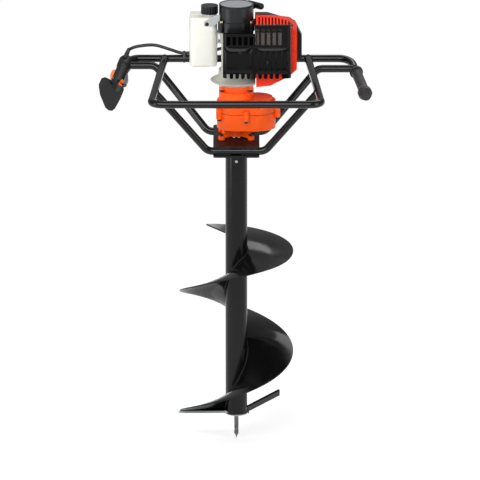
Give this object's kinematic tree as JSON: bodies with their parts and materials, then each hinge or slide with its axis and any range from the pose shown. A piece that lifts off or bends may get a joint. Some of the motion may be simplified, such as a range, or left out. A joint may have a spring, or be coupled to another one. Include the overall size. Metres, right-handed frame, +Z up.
{
  "type": "earth auger",
  "caption": "petrol earth auger with a two-stroke engine on a gearbox in a tubular two-handed frame, throttle handle, recoil starter and a spiral bit with pilot drill",
  "frame": {"origin": "tip of the pilot drill, on the bit's axis", "axes": "+Z up the bit to the engine, +X to the right grip, +Y toward the back bar"},
  "size_m": [0.7485, 0.5011, 1.2306],
  "materials": {
    "frame_black": "gloss black paint on steel tube",
    "deck_black": "satin black paint",
    "grip_rubber": "matt ribbed rubber",
    "handle_grey": "textured dark grey",
    "trigger_grey": "smooth grey",
    "control_orange": "bright orange",
    "cable_black": "black sleeve",
    "case_orange": "orange paint on cast aluminium",
    "bolt_black": "black oxide",
    "steel": "machined",
    "cast_alloy": "bare casting",
    "muffler_steel": "heat-proof black",
    "guard_black": "gloss black",
    "shroud_red": "red-orange",
    "plug_ceramic": "glazed ceramic",
    "boot_rubber": "smooth",
    "cover_black": "satin black",
    "recoil_black": "satin black",
    "zinc": "yellow zinc plate",
    "rope": "braided cord",
    "tank_white": "milky translucent",
    "bit_black": "gloss black paint",
    "blade_bright": "ground steel"
  },
  "bodies": {
    "frame": {"front_loop": "frame_black", "back_bar": "frame_black", "front_cradle": "frame_black", "rear_cradle": "frame_black", "top_plate": "deck_black", "lower_plate": "deck_black", "grip_right": "grip_rubber", "handle_front": "handle_grey", "handle_back": "handle_grey", "handle_screws": "steel", "throttle_cable": "cable_black", "cable_tie": "cable_black", "case_lower": "case_orange", "case_upper": "case_orange", "case_bolts": "bolt_black", "foot_bolts": "bolt_black", "collar_bolts": "bolt_black", "bearings": "steel", "fan_housing": "cast_alloy", "crankcase": "cast_alloy", "cylinder_block": "cast_alloy", "muffler": "muffler_steel", "muffler_guard": "guard_black", "shroud": "shroud_red", "spark_plug": "plug_ceramic", "plug_boot": "boot_rubber", "carburettor": "cast_alloy", "air_base": "cover_black", "recoil_housing": "recoil_black", "recoil_disc": "recoil_black", "starter_screws": "zinc", "fuel_tank": "tank_white", "tank_bracket": "cast_alloy"},
    "bit": {"bit_tube": "bit_black", "flight": "bit_black", "blade_left": "blade_bright", "blade_right": "bit_black", "pilot_drill": "steel", "lock_pin": "steel", "output_shaft": "steel"},
    "layshaft": {"layshaft": "steel"},
    "input": {"input_shaft": "steel", "clutch_drum": "steel"},
    "crank": {"crankshaft": "steel", "flywheel": "cast_alloy", "clutch_shoes": "steel"},
    "piston": {"piston": "cast_alloy"},
    "trigger": {"trigger": "trigger_grey"},
    "lock_lever": {"lock_lever": "control_orange"},
    "stop_switch": {"stop_switch": "control_orange"},
    "push_knob": {"push_knob": "control_orange"},
    "throttle_arm": {"throttle_arm": "steel"},
    "choke_lever": {"choke_lever": "cover_black"},
    "air_cover": {"air_cover": "cover_black"},
    "air_knob": {"air_knob": "cover_black"},
    "starter_pulley": {"starter_pulley": "cover_black"},
    "starter_grip": {"starter_handle": "cover_black", "starter_rope": "rope"},
    "fuel_cap": {"fuel_cap": "cover_black"}
  },
  "joints": [
    {"name": "bit_spin", "type": "hinge", "parent": "frame", "child": "bit", "pos_m": [0, 0, 0.8], "axis": [0, 0, 1], "continuous": true},
    {"name": "layshaft_spin", "type": "hinge", "parent": "frame", "child": "layshaft", "pos_m": [0.054, 0, 0.8856], "axis": [0, 0, 1], "continuous": true},
    {"name": "input_spin", "type": "hinge", "parent": "frame", "child": "input", "pos_m": [0, 0, 0.9886], "axis": [0, 0, 1], "continuous": true},
    {"name": "crank_spin", "type": "hinge", "parent": "frame", "child": "crank", "pos_m": [0, 0, 1.1086], "axis": [0, 0, 1], "continuous": true},
    {"name": "piston_stroke", "type": "slide", "parent": "frame", "child": "piston", "axis": [1, 0, 0], "range_m": [-0.017, 0.017]},
    {"name": "trigger_pull", "type": "hinge", "parent": "frame", "child": "trigger", "pos_m": [-0.30699, 0.16101, 0.9907], "axis": [0, 0.3304, -0.9439], "range_deg": [0, 11], "stiffness_Nm_per_rad": 0.3, "springref_deg": -11.46},
    {"name": "lock_press", "type": "hinge", "parent": "frame", "child": "lock_lever", "pos_m": [-0.33675, 0.12673, 0.9787], "axis": [0, 0.3304, -0.9439], "range_deg": [0, 8], "stiffness_Nm_per_rad": 0.3, "springref_deg": -11.46},
    {"name": "switch_slide", "type": "slide", "parent": "frame", "child": "stop_switch", "axis": [0.2209, 0.9205, 0.3222], "range_m": [0, 0.006]},
    {"name": "knob_press", "type": "slide", "parent": "frame", "child": "push_knob", "axis": [-0.6896, 0.381, -0.6158], "range_m": [0, 0.003], "stiffness_N_per_m": 400, "springref_m": -0.004},
    {"name": "throttle_turn", "type": "hinge", "parent": "frame", "child": "throttle_arm", "pos_m": [0.065, 0.065, 1.1086], "axis": [0, 0, 1], "range_deg": [0, 66]},
    {"name": "choke_swing", "type": "hinge", "parent": "frame", "child": "choke_lever", "pos_m": [0.047, 0.078, 1.1596], "axis": [0, 1, 0], "range_deg": [0, 60]},
    {"name": "cover_pull", "type": "slide", "parent": "frame", "child": "air_cover", "axis": [0, 1, 0], "range_m": [0, 0.08]},
    {"name": "cover_knob_turn", "type": "hinge", "parent": "air_cover", "child": "air_knob", "pos_m": [0.129, 0.078, 1.1086], "axis": [0, 1, 0], "continuous": true},
    {"name": "starter_pull", "type": "slide", "parent": "frame", "child": "starter_grip", "axis": [0.6645, 0.6645, 0.342], "range_m": [0, 0.6], "stiffness_N_per_m": 12, "springref_m": -0.6},
    {"name": "pulley_turn", "type": "hinge", "parent": "frame", "child": "starter_pulley", "pos_m": [0, 0, 1.1946], "axis": [0, 0, 1], "range_deg": [-1500, 0]},
    {"name": "cap_turn", "type": "hinge", "parent": "frame", "child": "fuel_cap", "pos_m": [-0.073, 0.02, 1.1966], "axis": [0, 0, 1], "range_deg": [0, 540]}
  ],
  "couplings": [
    {"joint": "layshaft_spin", "follows": "bit_spin", "ratio": -5},
    {"joint": "input_spin", "follows": "bit_spin", "ratio": 25},
    {"joint": "throttle_turn", "follows": "trigger_pull", "ratio": 6},
    {"joint": "pulley_turn", "follows": "starter_pull", "rad_per_m": -40}
  ]
}
